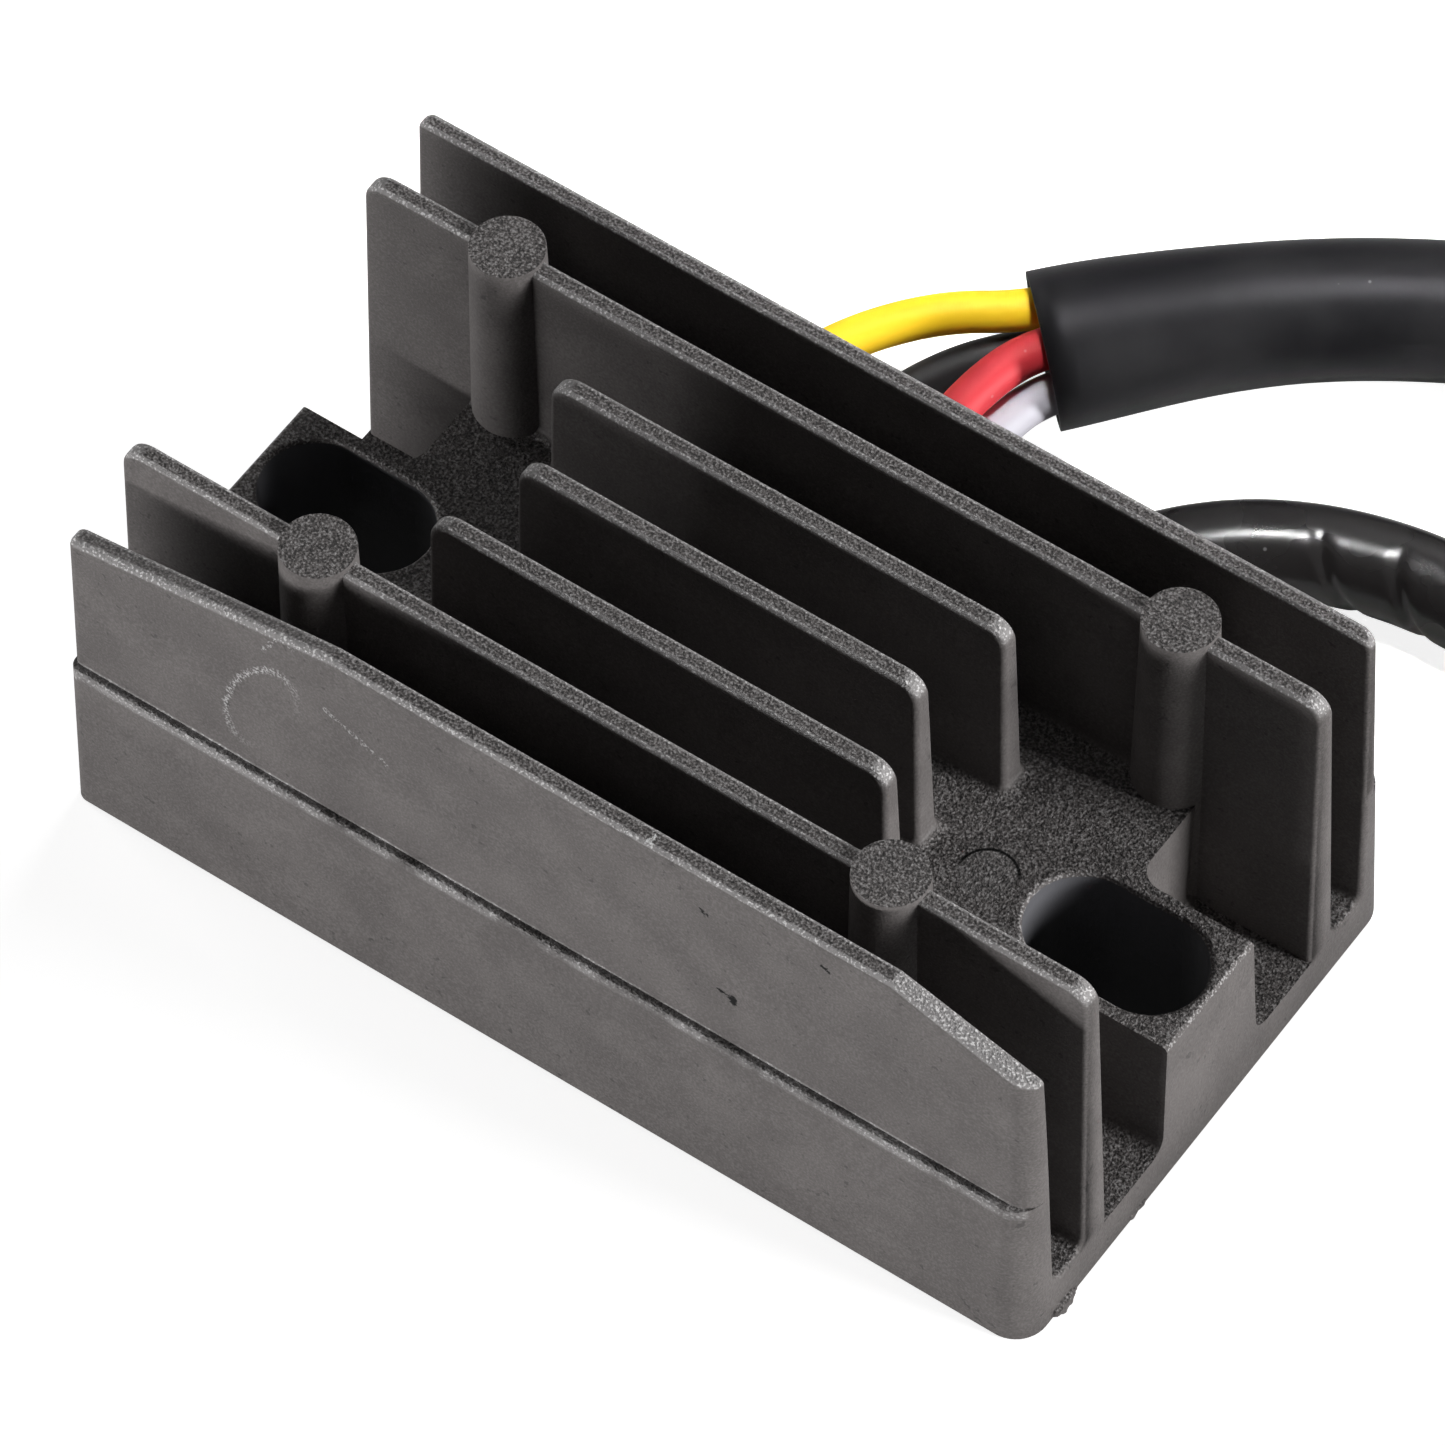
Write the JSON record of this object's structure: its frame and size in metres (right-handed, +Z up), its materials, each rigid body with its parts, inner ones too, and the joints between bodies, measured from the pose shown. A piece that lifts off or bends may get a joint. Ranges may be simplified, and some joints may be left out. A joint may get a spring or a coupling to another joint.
{
  "type": "voltage regulator rectifier",
  "caption": "Finned die-cast voltage regulator rectifier with slotted mounting pads, potted from below, its sleeved wire looms ending in latching connectors.",
  "frame": {"origin": "centre of the heat sink's footprint on its mounting face", "axes": "+X along the fins, +Y towards the wall that the wires leave, +Z up from the mounting face"},
  "size_m": [0.1412, 0.0883, 0.0291],
  "materials": {
    "coated_aluminium": "dark grey conversion coat on a die casting",
    "substrate_ceramic": "white ceramic, matt",
    "silicon": "polished silicon",
    "board": "green solder mask",
    "chip_body": "black moulded epoxy",
    "capacitor_can": "bright drawn can",
    "pin_brass": "tinned pin",
    "lug_copper": "bent copper strip",
    "potting_resin": "black cast epoxy",
    "terminal_brass": "stamped brass",
    "connector_nylon": "natural nylon",
    "sleeve": "soft matt vinyl sleeve",
    "gloss_tube": "glossy vinyl tube",
    "wire_yellow": "satin vinyl insulation",
    "wire_black": "satin vinyl insulation",
    "wire_red": "satin vinyl insulation",
    "wire_white": "satin vinyl insulation",
    "wire_green": "satin vinyl insulation",
    "wire_brown": "satin vinyl insulation"
  },
  "bodies": {
    "root": {"board_pin_1": "pin_brass", "board_pin_2": "pin_brass", "capacitor": "capacitor_can", "control_board": "board", "die_1": "silicon", "die_2": "silicon", "die_3": "silicon", "die_4": "silicon", "die_5": "silicon", "die_6": "silicon", "heat_sink": "coated_aluminium", "lug_1": "lug_copper", "lug_2": "lug_copper", "lug_3": "lug_copper", "lug_4": "lug_copper", "lug_5": "lug_copper", "lug_6": "lug_copper", "main_connector": "connector_nylon", "main_connector_terminal_1": "terminal_brass", "main_connector_terminal_2": "terminal_brass", "main_connector_terminal_3": "terminal_brass", "main_connector_terminal_4": "terminal_brass", "main_sleeve": "sleeve", "rear_wire_black": "wire_black", "rear_wire_red": "wire_red", "rear_wire_white": "wire_white", "rear_wire_yellow": "wire_yellow", "regulator_chip": "chip_body", "resin": "potting_resin", "resistor_1": "chip_body", "resistor_2": "chip_body", "small_connector": "connector_nylon", "small_connector_terminal_1": "terminal_brass", "small_connector_terminal_2": "terminal_brass", "small_tube": "gloss_tube", "small_wire_1": "wire_green", "small_wire_2": "wire_brown", "substrate": "substrate_ceramic", "wire_black": "wire_black", "wire_red": "wire_red", "wire_white": "wire_white", "wire_yellow": "wire_yellow"}
  },
  "joints": []
}
